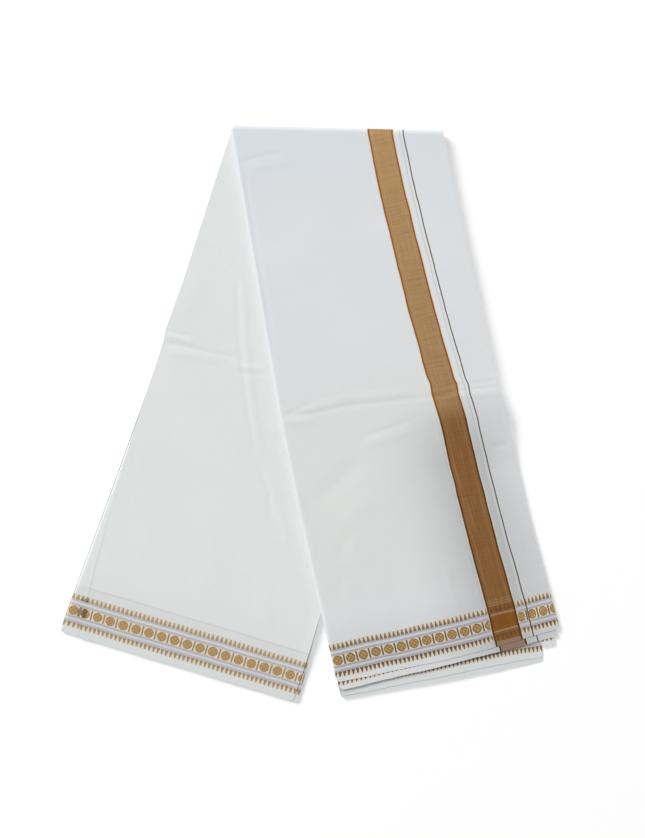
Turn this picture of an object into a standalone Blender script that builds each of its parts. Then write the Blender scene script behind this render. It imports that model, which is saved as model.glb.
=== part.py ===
"""A cotton dhoti, folded lengthwise into a strip of eight layers and laid over on itself.

The strip is folded once across its width. Its back leg lies flat, and its front leg lies
across the back leg and slopes off it onto the same surface, so that the legs spread like
an upside-down V. Each layer that shows is a thin wall of its own. The layers that don't
show are joined into one core in each leg and one in the fold.

Plan sizes are in millimetres: x to the right, y from the hems to the fold, z up from the
surface. The finished garment is moved so that its origin is the middle of the whole outline,
on the surface.
"""
import math
from collections import namedtuple

import bmesh
import bpy
from mathutils import Vector

MM = 0.001

# Where the plan's own zero lies from the middle of the whole outline
PLAN_ZERO = Vector((1.65, 0.15, 0.0))

# Thickness of the stack
CLOTH_WALL = 1.0
LAYER_GAP = 0.3
LAYER_STEP = CLOTH_WALL + LAYER_GAP
LEG_HEIGHT = 5 * LAYER_STEP + CLOTH_WALL
LAP_HEIGHT = LEG_HEIGHT + LAYER_GAP
BACK_CORE_LAYERS = 4
BACK_CORE_WALL = LEG_HEIGHT - 3 * LAYER_STEP

# The fold across the strip: the line that it turns about, and its outer radius
FOLD_LEFT = Vector((-94.5, 324.2))
FOLD_RIGHT = Vector((154.5, 317.6))
FOLD_RADIUS = (LAP_HEIGHT + LEG_HEIGHT) / 2
FOLD_STEPS = 12
FOLD_CORE_LAYERS = 5
SEAM_GAP = 0.3

# How the layered edge of a core swells and pinches in
PINCH = 0.4
SWELL_SHARES = (0.3, 0.7)

# The way that the front leg comes down off the back leg's right edge: the ramp gets wider
# from the fold to the hem, and its steps are shares of its width
BACK_EDGE_TOP = FOLD_RIGHT
BACK_EDGE_HEM = Vector((-11.2, -321.0))
RAMP_WIDTH_AT_FOLD = 55.0
RAMP_WIDTH_AT_HEM = 130.0
RampStep = namedtuple("RampStep", "width_share height_share")
RAMP = (
    RampStep(0.0, 1.0),
    RampStep(0.15, 0.95),
    RampStep(0.35, 0.73),
    RampStep(0.6, 0.33),
    RampStep(0.8, 0.09),
    RampStep(1.0, 0.0),
)

# The creases left by the packing, as low ridges: their two ends, and where the height runs out
Crease = namedtuple("Crease", "start end height half_width fade_from fade_to")
FRONT_CREASE = Crease(Vector((-34.2, -17.2)), Vector((213.0, 21.0)), 1.2, 8.0, 245.0, 320.0)
BACK_CREASE = Crease(Vector((-170.0, 79.0)), Vector((-84.0, 54.0)), 1.0, 7.0, 40.0, 90.0)

# The legs' side edges as (x, y, corner radius), without the corners at the fold: the left
# ones run from the fold to the hem, and the right ones from the hem back to the fold
FRONT_LEFT_EDGE = ((-34.2, -17.2, 0.0), (-11.5, -130.0, 0.0))
FRONT_RIGHT_EDGE = ((241.8, -100.7, 0.0), (223.9, -2.0, 30.0), (212.6, 24.0, 20.0))
BACK_LEFT_EDGE = (
    (-99.7, 313.0, 0.0), (-151.5, 140.5, 0.0), (-169.0, 86.8, 3.0), (-170.6, 73.0, 3.0),
)
BACK_TOP_LEFT_EDGE = BACK_LEFT_EDGE + (
    (-205.5, -36.0, 0.0), (-231.5, -130.2, 0.0), (-252.7, -218.5, 0.0),
)
BACK_TOP_RIGHT_EDGE = ((-6.0, -287.0, 0.0), (11.2, -228.5, 0.0))

# Each layer that shows: its place in the leg's stack, its hem from left to right as
# (x, y, corner radius), its side edges, and how much of the leg's crease it takes
Panel = namedtuple("Panel", "node height hem left_edge right_edge lap crease_share color")
COTTON = (0.70, 0.72, 0.73)
HIDDEN_COTTON = (0.62, 0.64, 0.66)
PANELS = (
    Panel(
        "front_lowest_panel", 0 * LAYER_STEP,
        ((34.3, -329.8, 7.0), (155.9, -308.3, 0.0), (262.0, -289.4, 3.0)),
        FRONT_LEFT_EDGE, FRONT_RIGHT_EDGE, True, 0.0, COTTON,
    ),
    Panel(
        "front_fourth_panel", 1 * LAYER_STEP,
        ((34.6, -327.0, 6.0), (131.9, -307.4, 0.0), (232.3, -287.4, 0.0), (262.6, -283.6, 2.5)),
        FRONT_LEFT_EDGE, FRONT_RIGHT_EDGE, True, 0.0, COTTON,
    ),
    Panel(
        "front_core", 2 * LAYER_STEP,
        ((32.5, -312.5, 3.0), (155.0, -284.5, 0.0), (256.0, -262.5, 3.0)),
        FRONT_LEFT_EDGE, FRONT_RIGHT_EDGE, True, 0.0, HIDDEN_COTTON,
    ),
    Panel(
        "front_third_panel", 3 * LAYER_STEP,
        ((32.2, -315.0, 3.0), (155.0, -287.0, 0.0), (257.8, -263.5, 0.0),
         (259.0, -272.5, 1.0), (275.8, -270.0, 3.0)),
        FRONT_LEFT_EDGE, FRONT_RIGHT_EDGE, True, 0.0, COTTON,
    ),
    Panel(
        "front_second_panel", 4 * LAYER_STEP,
        ((31.9, -318.8, 4.0), (155.5, -290.7, 0.0), (277.6, -260.9, 5.0)),
        FRONT_LEFT_EDGE, FRONT_RIGHT_EDGE, True, 0.5, COTTON,
    ),
    Panel(
        "front_top_panel", 5 * LAYER_STEP,
        ((30.0, -308.8, 3.0), (155.4, -284.6, 0.0), (279.6, -254.8, 5.0)),
        FRONT_LEFT_EDGE, FRONT_RIGHT_EDGE, True, 1.0, COTTON,
    ),
    Panel(
        "back_lowest_panel", 0 * LAYER_STEP,
        ((-282.6, -254.0, 5.0), (-15.5, -333.0, 5.0)),
        BACK_LEFT_EDGE, (), False, 0.0, COTTON,
    ),
    Panel(
        "back_second_panel", 4 * LAYER_STEP,
        ((-283.2, -254.5, 5.0), (-14.5, -333.5, 5.0)),
        BACK_LEFT_EDGE, (), False, 0.0, COTTON,
    ),
    Panel(
        "back_top_panel", 5 * LAYER_STEP,
        ((-263.0, -260.5, 3.0), (-19.5, -331.8, 5.0)),
        BACK_TOP_LEFT_EDGE, BACK_TOP_RIGHT_EDGE, False, 1.0, COTTON,
    ),
)

CORNER_SEGMENTS = 3
EDGE_ROUNDING = 0.3


def clear_scene():
    for scene_object in list(bpy.data.objects):
        bpy.data.objects.remove(scene_object)


def cloth_material(name, color):
    """Bleached cotton: white, matt, with a faint fibre sheen."""
    material = bpy.data.materials.new(name)
    material.use_nodes = True
    shader = material.node_tree.nodes["Principled BSDF"]
    shader.inputs["Base Color"].default_value = (*color, 1.0)
    shader.inputs["Roughness"].default_value = 0.9
    shader.inputs["Metallic"].default_value = 0.0
    material.diffuse_color = (*color, 1.0)
    return material


def add_object(name, bm, collection, parent, color, height=0.0):
    """Finish a bmesh as a named object, lifted to its height under the garment's empty."""
    bmesh.ops.recalc_face_normals(bm, faces=bm.faces)
    mesh = bpy.data.meshes.new(name)
    bm.to_mesh(mesh)
    bm.free()
    piece = bpy.data.objects.new(name, mesh)
    piece.location.z = height * MM
    piece.parent = parent
    mesh.materials.append(cloth_material(name, color))
    collection.objects.link(piece)
    return piece


def rounded_outline(corners):
    """Turn rows of (x, y, radius) into points, with an arc at each corner that has a radius."""
    points = []
    for index, (x, y, radius) in enumerate(corners):
        corner = Vector((x, y))
        if radius == 0.0:
            points.append(corner)
            continue
        before = (Vector(corners[index - 1][:2]) - corner).normalized()
        after = (Vector(corners[(index + 1) % len(corners)][:2]) - corner).normalized()
        half_angle = before.angle(after) / 2
        reach = radius / math.tan(half_angle)
        centre = corner + (before + after).normalized() * radius / math.sin(half_angle)
        first = corner + before * reach - centre
        last = corner + after * reach - centre
        for step in range(CORNER_SEGMENTS + 1):
            blend = first.lerp(last, step / CORNER_SEGMENTS)
            points.append(centre + blend.normalized() * radius)
    return points


def inset_outline(points, distance):
    """Move each point of an anticlockwise outline inwards by the same distance."""
    moved = []
    for index, point in enumerate(points):
        into = (point - points[index - 1]).normalized()
        out = (points[(index + 1) % len(points)] - point).normalized()
        inward = (Vector((-into.y, into.x)) + Vector((-out.y, out.x))).normalized()
        moved.append(point + inward * distance)
    return moved


def panel_outline(panel):
    """The outline of a panel, anticlockwise: down its left edge, along its hem, and back up."""
    along = (FOLD_RIGHT - FOLD_LEFT).normalized()
    seam = Vector((along.y, -along.x)) * SEAM_GAP
    left_corner = FOLD_LEFT + seam
    right_corner = FOLD_RIGHT + seam
    corners = (
        ((left_corner.x, left_corner.y, 0.0),)
        + panel.left_edge
        + panel.hem
        + panel.right_edge
        + ((right_corner.x, right_corner.y, 0.0),)
    )
    return rounded_outline(corners)


def lap_height(point):
    """How high the back leg holds the front leg at a plan point."""
    edge = BACK_EDGE_HEM - BACK_EDGE_TOP
    down = edge.normalized()
    outward = Vector((-down.y, down.x))
    offset = point - BACK_EDGE_TOP
    reach = offset.dot(down) / edge.length
    width = RAMP_WIDTH_AT_FOLD + reach * (RAMP_WIDTH_AT_HEM - RAMP_WIDTH_AT_FOLD)
    width_share = offset.dot(outward) / width
    if width_share <= RAMP[0].width_share:
        return LAP_HEIGHT
    for near, far in zip(RAMP, RAMP[1:]):
        if width_share <= far.width_share:
            share = (width_share - near.width_share) / (far.width_share - near.width_share)
            return LAP_HEIGHT * (near.height_share + share * (far.height_share - near.height_share))
    return 0.0


def crease_height(point, crease):
    """The height of a crease's ridge at a plan point."""
    along = (crease.end - crease.start).normalized()
    offset = point - crease.start
    across = abs(offset.dot(Vector((-along.y, along.x))))
    reach = offset.dot(along)
    fade = min(max((crease.fade_to - reach) / (crease.fade_to - crease.fade_from), 0.0), 1.0)
    return crease.height * max(0.0, 1.0 - across / crease.half_width) * fade


def cut_sheet(bm, point, direction):
    """Cut a flat sheet along a plan line, so that it can bend there."""
    bmesh.ops.bisect_plane(
        bm,
        geom=bm.verts[:] + bm.edges[:] + bm.faces[:],
        plane_co=(point.x * MM, point.y * MM, 0.0),
        plane_no=(-direction.y, direction.x, 0.0),
        dist=0.01 * MM,
    )


def cut_for_ramp(bm):
    down = (BACK_EDGE_HEM - BACK_EDGE_TOP).normalized()
    outward = Vector((-down.y, down.x))
    for step in RAMP:
        start = BACK_EDGE_TOP + outward * step.width_share * RAMP_WIDTH_AT_FOLD
        end = BACK_EDGE_HEM + outward * step.width_share * RAMP_WIDTH_AT_HEM
        cut_sheet(bm, start, (end - start).normalized())


def cut_for_crease(bm, crease):
    along = (crease.end - crease.start).normalized()
    across = Vector((-along.y, along.x))
    for offset in (-crease.half_width, 0.0, crease.half_width):
        cut_sheet(bm, crease.start + across * offset, along)
    for reach in (crease.fade_from, crease.fade_to):
        cut_sheet(bm, crease.start + along * reach, across)


def thicken_outwards(piece):
    """Give an open sheet the cloth's wall, on the side that its faces look to."""
    thicken = piece.modifiers.new("cloth_wall", "SOLIDIFY")
    thicken.thickness = CLOTH_WALL * MM
    thicken.offset = 1.0
    thicken.use_even_offset = True


def build_panel(panel, collection, parent):
    """One layer of cloth: its flat outline, bent over what lies under it, then thickened."""
    bm = bmesh.new()
    bm.faces.new([bm.verts.new((point.x * MM, point.y * MM, 0.0)) for point in panel_outline(panel)])
    crease = FRONT_CREASE if panel.lap else BACK_CREASE
    if panel.lap:
        cut_for_ramp(bm)
    if panel.crease_share > 0.0:
        cut_for_crease(bm, crease)
    for vertex in bm.verts:
        point = vertex.co.xy / MM
        height = lap_height(point) if panel.lap else 0.0
        height += crease_height(point, crease) * panel.crease_share
        vertex.co.z = height * MM
    bmesh.ops.triangulate(bm, faces=bm.faces)
    piece = add_object(panel.node, bm, collection, parent, panel.color, panel.height)
    if piece.data.polygons[0].normal.z < 0.0:
        piece.data.flip_normals()

    thicken_outwards(piece)

    round_edges = piece.modifiers.new("rounded_edge", "BEVEL")
    round_edges.width = EDGE_ROUNDING * MM
    round_edges.segments = 1
    round_edges.limit_method = "ANGLE"
    round_edges.angle_limit = math.radians(50.0)


def layer_profile(layers, thickness):
    """Rows of (distance through the layers, inset) that pinch in between each two layers."""
    step = thickness / layers
    rows = []
    for layer in range(layers):
        start = layer * step
        rows.append((start, PINCH))
        rows.extend((start + share * step, 0.0) for share in SWELL_SHARES)
    rows.append((thickness, PINCH))
    return rows


def build_back_core(collection, parent):
    """The back leg's hidden layers, as one slab whose rim shows them one above the other."""
    cover = next(panel for panel in PANELS if panel.node == "back_lowest_panel")
    outline = inset_outline(panel_outline(cover), PINCH)
    bm = bmesh.new()
    rings = []
    for height, inset in layer_profile(BACK_CORE_LAYERS, BACK_CORE_WALL):
        points = inset_outline(outline, inset)
        rings.append([bm.verts.new((point.x * MM, point.y * MM, height * MM)) for point in points])
    bm.faces.new(reversed(rings[0]))
    bm.faces.new(rings[-1])
    for lower, upper in zip(rings, rings[1:]):
        for index in range(len(lower)):
            follow = (index + 1) % len(lower)
            bm.faces.new((lower[index], lower[follow], upper[follow], upper[index]))
    add_object("back_core", bm, collection, parent, HIDDEN_COTTON, LAYER_STEP)


def fold_axis():
    along = (FOLD_RIGHT - FOLD_LEFT).normalized()
    return Vector((along.x, along.y, 0.0))


def spin_over_fold(bm, geometry):
    """Turn a profile half a circle about the fold line, from the top over to the underside."""
    bmesh.ops.spin(
        bm,
        geom=geometry,
        cent=(FOLD_LEFT.x * MM, FOLD_LEFT.y * MM, FOLD_RADIUS * MM),
        axis=-fold_axis(),
        angle=math.pi,
        steps=FOLD_STEPS,
        use_duplicate=False,
    )


def fold_point(along, radius):
    """A point above the fold line, by its distance from the left end and its radius."""
    place = FOLD_LEFT.to_3d() + fold_axis() * along
    return (place + Vector((0.0, 0.0, FOLD_RADIUS + radius))) * MM


def build_top_fold(collection, parent):
    """The outermost layer where it turns over the fold."""
    length = (FOLD_RIGHT - FOLD_LEFT).length
    bm = bmesh.new()
    inner = FOLD_RADIUS - CLOTH_WALL
    ends = [bm.verts.new(fold_point(along, inner)) for along in (0.0, length)]
    edge = bm.edges.new(ends)
    spin_over_fold(bm, ends + [edge])
    piece = add_object("top_fold", bm, collection, parent, COTTON)
    if max(piece.data.polygons, key=lambda face: face.center.y).normal.y < 0.0:
        piece.data.flip_normals()
    thicken_outwards(piece)


def build_fold_core(collection, parent):
    """The inner layers of the fold, nested like the rings of a halved trunk."""
    length = (FOLD_RIGHT - FOLD_LEFT).length
    radius = FOLD_RADIUS - CLOTH_WALL - LAYER_GAP
    rows = layer_profile(FOLD_CORE_LAYERS, radius)
    left = [fold_point(PINCH + inset, distance) for distance, inset in rows]
    right = [fold_point(length - PINCH - inset, distance) for distance, inset in reversed(rows)]
    bm = bmesh.new()
    verts = [bm.verts.new(point) for point in left + right]
    edges = [bm.edges.new(pair) for pair in zip(verts, verts[1:])]
    spin_over_fold(bm, verts + edges)
    bmesh.ops.remove_doubles(bm, verts=bm.verts, dist=0.01 * MM)
    bmesh.ops.holes_fill(bm, edges=[edge for edge in bm.edges if edge.is_boundary])
    add_object("top_fold_core", bm, collection, parent, HIDDEN_COTTON)


def main():
    clear_scene()
    collection = bpy.data.collections.new("folded_dhoti")
    bpy.context.scene.collection.children.link(collection)
    garment = bpy.data.objects.new("dhoti", None)
    garment.location = PLAN_ZERO * MM
    collection.objects.link(garment)
    for panel in PANELS:
        build_panel(panel, collection, garment)
    build_back_core(collection, garment)
    build_top_fold(collection, garment)
    build_fold_core(collection, garment)


main()
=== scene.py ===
"""A white cotton dhoti with a gold band and woven borders, ironed into a strip and laid over.

The strip is eight layers of one cloth. Each layer is a sheet that runs from the front leg's
hem up to the fold across the strip, round it, and down to the back leg's hem. So the front
leg's top layer is the outermost at the fold and the lowest in the back leg.

The tables' plan sizes are in millimetres from the plan's own zero: x to the right, y from the
hems to the fold. The finished meshes are in metres, in the frame's own place.
"""

import math
from collections import namedtuple

import bpy
import numpy as np
from bpy.props import FloatProperty, FloatVectorProperty, PointerProperty
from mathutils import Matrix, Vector


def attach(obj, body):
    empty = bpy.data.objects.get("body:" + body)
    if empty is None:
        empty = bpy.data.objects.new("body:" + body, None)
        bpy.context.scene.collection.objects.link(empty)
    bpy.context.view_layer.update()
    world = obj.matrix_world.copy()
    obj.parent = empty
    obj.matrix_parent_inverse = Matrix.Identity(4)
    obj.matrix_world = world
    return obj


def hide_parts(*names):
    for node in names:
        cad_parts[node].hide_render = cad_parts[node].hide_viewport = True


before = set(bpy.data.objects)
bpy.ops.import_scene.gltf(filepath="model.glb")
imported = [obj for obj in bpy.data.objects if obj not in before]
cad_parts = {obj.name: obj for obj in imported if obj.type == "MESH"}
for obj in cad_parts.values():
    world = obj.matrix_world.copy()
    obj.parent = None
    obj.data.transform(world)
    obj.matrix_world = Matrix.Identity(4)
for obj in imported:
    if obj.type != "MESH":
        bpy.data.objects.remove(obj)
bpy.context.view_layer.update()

bl_info = {
    "name": "Folded dhoti cloth",
    "version": (1, 0, 0),
    "blender": (4, 5, 0),
    "location": "View3D > Sidebar > Dhoti",
    "description": "Dresses a folded cotton dhoti: its layers, creases, weave, band and borders",
    "category": "Add Mesh",
}

MM = 0.001

# ---------------- the folded strip, in mm

# Where the plan's zero lies in the frame
PLAN_ZERO = np.array([1.65, 0.15])

STRIP_WIDTH = 247.0
LAYERS = 8
BANDED_LAYERS = 2

# The fold across the strip, the height of one leg's stack, and how high the front leg lies on
# the back leg. The fold turns about a line that is its own radius above the floor.
FOLD_LEFT = (-94.5, 324.2)
FOLD_RIGHT = (154.5, 317.6)
LEG_HEIGHT = 7.5
LAP_HEIGHT = 7.8
FOLD_RADIUS = (LEG_HEIGHT + LAP_HEIGHT) / 2

# How the front leg comes down off the back leg. It lies level above the pack fold. Below that,
# it dips off the back leg's right edge, and then falls across the gold band to its right side.
BACK_EDGE_HEM = (-11.2, -321.0)
FALL_STARTS = 25.0
FALL_ENDS = -75.0
EDGE_DIP = 0.15
EDGE_DIP_WIDTH = (8.0, 75.0)
BAND_FALL_WIDTH = (-62.0, 82.0)

# How much flatter the stack is pressed at the hems, and at the front leg's low right side
HEM_PRESS = 0.54
HEM_PRESS_LENGTH = 90.0
SIDE_PRESS = 0.30

# The legs' sides from the fold to the hem, as rows of (x, y, how far off the corner turns)
FRONT_LEFT = ((*FOLD_LEFT, 0.0), (-35.2, -17.2, 45.0), (-12.3, -130.0, 40.0))
FRONT_LEFT_HEM = (29.7, -308.5, 0.0)
FRONT_RIGHT = (
    (*FOLD_RIGHT, 0.0), (165.6, 250.0, 40.0), (211.4, 24.5, 7.0), (223.2, -2.0, 9.0),
    (241.2, -100.7, 40.0),
)
BACK_LEFT = (
    (*FOLD_LEFT, 0.0), (-98.2, 313.0, 5.0), (-150.0, 140.5, 30.0), (-168.2, 88.0, 6.0),
    (-170.6, 73.0, 7.0), (-219.0, -72.0, 60.0),
)
BACK_RIGHT = ((*FOLD_RIGHT, 0.0),)
BACK_TOP_LEFT = BACK_LEFT[:5] + (
    (-205.0, -36.0, 30.0), (-231.0, -130.2, 30.0), (-251.2, -211.0, 20.0),
)
BACK_TOP_RIGHT = ((*FOLD_RIGHT, 0.0), (12.9, -228.5, 20.0), (-4.4, -287.0, 15.0))

# One row for each layer, from the outermost at the fold to the innermost. The hems run from
# left to right. Insets, lips and margins are for the left and the right: the insets pull hidden
# side edges in, a lip is how many layers a side edge turns by, towards the one that it is folded
# to (inwards at the fold is negative, and 0 is a cut edge), and a margin is how far the
# medallions lie from the front hem. The steps are the mesh's spacing on the front and back leg.
Layer = namedtuple(
    "Layer",
    "name stands_for front_hem back_hem insets front_lips back_lips steps margin back_left back_right",
    defaults=((27.0, 27.0), BACK_LEFT, BACK_RIGHT),
)
CORE_NODES = ("front_core", "back_core", "top_fold_core")
STRIP = (
    Layer(
        "outer_layer", ("front_top_panel", "top_fold", "back_lowest_panel"),
        ((29.3, -310.4), (67.4, -302.8), (155.4, -284.6), (193.0, -275.6), (244.0, -261.2),
         (279.6, -251.8)),
        ((-282.6, -254.0), (-15.5, -333.0)), insets=(0.0, 0.0),
        front_lips=(-3.5, 0.0), back_lips=(-3.0, 0.0), steps=(2.3, 7.0), margin=(25.0, 27.0),
    ),
    Layer(
        "second_layer", ("front_second_panel",),
        ((31.9, -319.4), (155.5, -290.7), (277.6, -260.1)),
        ((-281.4, -253.8), (-16.5, -331.8)), insets=(0.9, 0.3),
        front_lips=(-2.5, 0.0), back_lips=(-0.5, 0.0), steps=(3.5, 9.0), margin=(24.0, 28.5),
    ),
    Layer(
        "third_layer", ("front_third_panel",),
        ((32.2, -318.6), (155.0, -287.0), (257.8, -263.5), (259.0, -272.5), (275.8, -270.0)),
        ((-281.8, -252.8), (-17.0, -331.0)), insets=(1.7, 0.9),
        front_lips=(-1.5, -0.5), back_lips=(-0.5, -0.5), steps=(5.0, 9.0), margin=(26.0, 25.0),
    ),
    Layer(
        "fourth_layer", CORE_NODES, ((32.5, -318.0), (155.0, -285.5), (257.5, -263.5)),
        ((-281.0, -253.3), (-16.3, -331.3)), insets=(2.3, 0.9),
        front_lips=(-0.5, 0.5), back_lips=(-0.5, 0.5), steps=(7.0, 9.0),
    ),
    Layer(
        "fifth_layer", CORE_NODES, ((33.5, -318.6), (154.0, -289.0), (256.8, -266.0)),
        ((-280.0, -254.8), (-17.0, -331.8)), insets=(2.3, 0.5),
        front_lips=(0.5, -1.5), back_lips=(0.5, -0.5), steps=(7.0, 9.0),
    ),
    Layer(
        "sixth_layer", CORE_NODES, ((34.0, -317.8), (154.0, -286.5), (258.2, -264.0)),
        ((-281.5, -251.8), (-15.8, -330.4)), insets=(1.7, 1.3),
        front_lips=(1.5, -0.5), back_lips=(0.5, 0.5), steps=(7.0, 9.0),
    ),
    Layer(
        "seventh_layer", ("front_fourth_panel", "back_second_panel"),
        ((34.6, -326.3), (131.9, -307.4), (232.3, -287.4), (262.6, -283.6)),
        ((-283.2, -254.5), (-13.2, -333.5)), insets=(0.9, 1.3),
        front_lips=(2.5, 0.5), back_lips=(3.0, 0.3), steps=(4.0, 3.5), margin=(27.4, 26.2),
    ),
    Layer(
        "inner_layer", ("front_lowest_panel", "back_top_panel"),
        ((34.3, -328.6), (155.9, -308.2), (261.6, -288.4)),
        ((-263.0, -260.5), (-19.3, -331.8)), insets=(0.0, 0.4),
        front_lips=(3.5, 1.5), back_lips=(0.0, -0.5), steps=(7.0, 2.3),
        back_left=BACK_TOP_LEFT, back_right=BACK_TOP_RIGHT,
    ),
)

# A lip's width for each layer that it turns by, and the length over which it grows from a hem
LIP_REACH = 1.0
LIP_DIES_AWAY = 16.0
LIP_STEPS = 6

# The mesh: points in a soft turn, rows close to a hem, and spacing round the fold
TURN_POINTS = 9
HEM_ROWS = (0.0, 0.4, 1.0, 2.0, 3.4, 5.2)
FOLD_STEP = 1.2
FEWEST_FOLD_STEPS = 8
SMOOTH_ANGLE = math.radians(50.0)

# How far a hem's corners are rounded, and how far up the leg its bow dies away
HEM_CORNER = 4.0
HEM_BOW_REACH = 60.0

# Unevenness of the hems and the right side edges: the wave, its height at each, how far in from
# the edge it reaches, and what sets the back leg and the edges off from the front hems
WAVE_LENGTHS = (83.0, 37.0, 17.0)
WAVE_WEIGHTS = (0.5, 0.3, 0.2)
HEM_WAVER = 0.35
EDGE_WAVER = 0.45
EDGE_WAVER_REACH = 12.0
BACK_PHASE = 5.0
EDGE_PHASE = 2.0

# How the back leg's relief dies away under the front leg: the gap, and the length
CLEAR_GAP = 1.0
CLEAR_LENGTH = 7.0

# Creases and soft folds: points in the plan, height (below 0 is a trough), half its width, how
# pointed it is from 0 to 1, and the share of its length over which each end dies away. The
# heights are for a creasing of 1.
Crease = namedtuple("Crease", "points height half_width point fade")
POINTED_POWER = 1.4
FRONT_CREASES = (
    # the pack fold across the leg, which opens like a fan at the left edge
    Crease(((-34, -12), (-1, -10), (44, 0), (130, 9), (172, 12)), -0.60, 4.5, 0.8, 0.10),
    Crease(((-35, -6), (0, -4), (44, 7), (120, 15)), 0.50, 9.0, 0.2, 0.15),
    Crease(((-34, -13), (-14, -4), (6, 4)), -0.55, 4.0, 0.7, 0.25),
    Crease(((-36, -20), (-16, -19), (8, -17)), 0.80, 9.0, 0.3, 0.30),
    Crease(((50, -39), (88, -27), (120, -15)), -0.45, 5.0, 0.6, 0.25),
    Crease(((52, -48), (90, -37), (122, -26)), 0.40, 9.0, 0.2, 0.25),
    Crease(((146, 20), (190, 25), (216, 29)), -0.55, 3.4, 0.8, 0.15),
    Crease(((146, 13), (190, 19), (218, 23)), -0.60, 3.4, 0.8, 0.15),
    Crease(((150, 8), (190, 12), (222, 15)), 0.45, 6.0, 0.2, 0.20),
    Crease(((204, -47), (228, -44)), -0.75, 6.0, 0.5, 0.25),
    Crease(((214, -3), (226, -40)), -0.45, 5.0, 0.4, 0.25),
    # marks near the fold, and two small dents
    Crease(((-86, 283), (-63, 291), (-31, 297)), -0.50, 4.5, 0.6, 0.25),
    Crease(((-84, 274), (-55, 280), (-20, 287)), 0.40, 8.0, 0.2, 0.30),
    Crease(((22, 31), (30, 24), (27, 17)), -0.50, 3.2, 0.6, 0.30),
    Crease(((67, 33), (71, 24)), -0.40, 3.2, 0.6, 0.30),
    # the hollow beside the left fold
    Crease(((-81, 290), (-66, 198), (-50, 110), (-42, 50)), -0.55, 5.0, 0.3, 0.12),
    Crease(((-88, 300), (-72, 200), (-55, 100), (-45, 40)), 0.35, 5.0, 0.2, 0.12),
    Crease(((-18, -93), (-8, -119)), 0.50, 8.0, 0.3, 0.30),
    # slack across the lower leg
    Crease(((62, -58), (36, -82), (0, -117)), -0.75, 18.0, 0.2, 0.30),
    Crease(((80, -96), (52, -118), (28, -142)), 0.45, 19.0, 0.1, 0.30),
    Crease(((46, -138), (38, -158), (32, -178)), -0.40, 12.0, 0.2, 0.35),
    Crease(((2, -128), (-2, -150), (6, -182)), 0.40, 11.0, 0.1, 0.35),
    Crease(((40, -182), (34, -200), (26, -228)), -0.45, 12.0, 0.2, 0.35),
    Crease(((72, -180), (78, -215), (92, -250)), 0.60, 20.0, 0.1, 0.35),
    # the gold band is stiffer than the cloth beside it, which sinks along it
    Crease(((140, -10), (150, -60), (176, -160), (196, -240)), -0.80, 16.0, 0.2, 0.08),
    Crease(((176, -10), (187, -60), (213, -160), (233, -235)), 0.70, 9.0, 0.2, 0.10),
    Crease(((197, -60), (222, -160), (238, -225)), -0.50, 8.0, 0.2, 0.20),
    Crease(((152, -170), (157, -208), (168, -246)), 0.40, 7.0, 0.2, 0.30),
    Crease(((156, -108), (178, -104), (203, -104)), -0.50, 3.4, 0.7, 0.20),
    # the right corner of the hem stands up a little
    Crease(((255, -232), (284, -262)), 1.90, 20.0, 0.1, 0.05),
    # slack across the upper leg
    Crease(((-20, 250), (30, 180), (60, 100)), 0.50, 40.0, 0.1, 0.35),
    Crease(((120, 280), (160, 200), (190, 110)), 0.45, 26.0, 0.1, 0.35),
)
BACK_CREASES = (
    # pressed folds that start at the left edge
    Crease(((-172, 89), (-155, 84), (-138, 81)), -0.60, 3.6, 0.8, 0.20),
    Crease(((-172, 82), (-150, 77), (-130, 73)), 0.75, 5.5, 0.3, 0.25),
    Crease(((-173, 74), (-139, 67), (-105, 60), (-84, 54)), -0.70, 4.0, 0.8, 0.15),
    Crease(((-173, 65), (-139, 58), (-100, 50)), 0.60, 8.0, 0.2, 0.25),
    # a long pressed fold and its end, beside the front leg
    Crease(((-114, 183), (-86, 144), (-83, 82), (-75, 10), (-60, -70)), -0.50, 5.0, 0.5, 0.25),
    Crease(((-106, 178), (-78, 140), (-76, 82), (-68, 8), (-54, -70)), 0.55, 7.0, 0.2, 0.25),
    Crease(((-60, -66), (-47, -100), (-46, -130)), -0.50, 4.5, 0.5, 0.25),
    Crease(((-52, -60), (-38, -110), (-20, -175)), 0.50, 8.0, 0.2, 0.35),
    # a small fold that runs under the front leg
    Crease(((-92, 47), (-68, 43), (-47, 42)), 0.55, 5.0, 0.3, 0.25),
    Crease(((-94, 40), (-70, 36), (-50, 35)), -0.40, 4.0, 0.4, 0.25),
    # slack, and the ridge along the lower right edge
    Crease(((-200, -60), (-180, -130), (-200, -200)), 0.45, 24.0, 0.1, 0.35),
    Crease(((-120, -90), (-110, -170), (-125, -240)), 0.40, 26.0, 0.1, 0.35),
    Crease(((-60, -190), (-50, -230), (-52, -270)), 0.35, 14.0, 0.1, 0.35),
    Crease(((-128, 170), (-140, 120), (-150, 95)), 0.45, 18.0, 0.1, 0.35),
    Crease(((12, -222), (-6, -287), (-20, -331)), 0.60, 8.0, 0.2, 0.10),
)

# The weave's own measures: the gold band's left edge down the front leg, how a level distance
# from it shrinks to a square one, how far to the right the second layer's band lies, the line
# through the top layer's medallions, and how far the others' lie from the back hem
BAND_LINE = (
    (67.0, 312.0), (78.5, 251.5), (94.5, 181.5), (111.0, 111.0), (129.5, 41.0), (132.0, 31.5),
    (135.5, 24.0), (137.0, 13.0), (145.5, -14.5), (155.0, -58.0), (167.5, -112.0),
    (180.5, -166.0), (190.0, -202.0), (214.0, -298.0),
)
BAND_LEAN = 0.97
SECOND_BAND_SHIFT = 3.3
TOP_MEDALLION_LINE = (
    (22.0, -287.3), (128.0, -264.3), (171.0, -254.4), (258.0, -232.7), (285.0, -226.0),
)
BACK_MARGIN = 26.9

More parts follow.
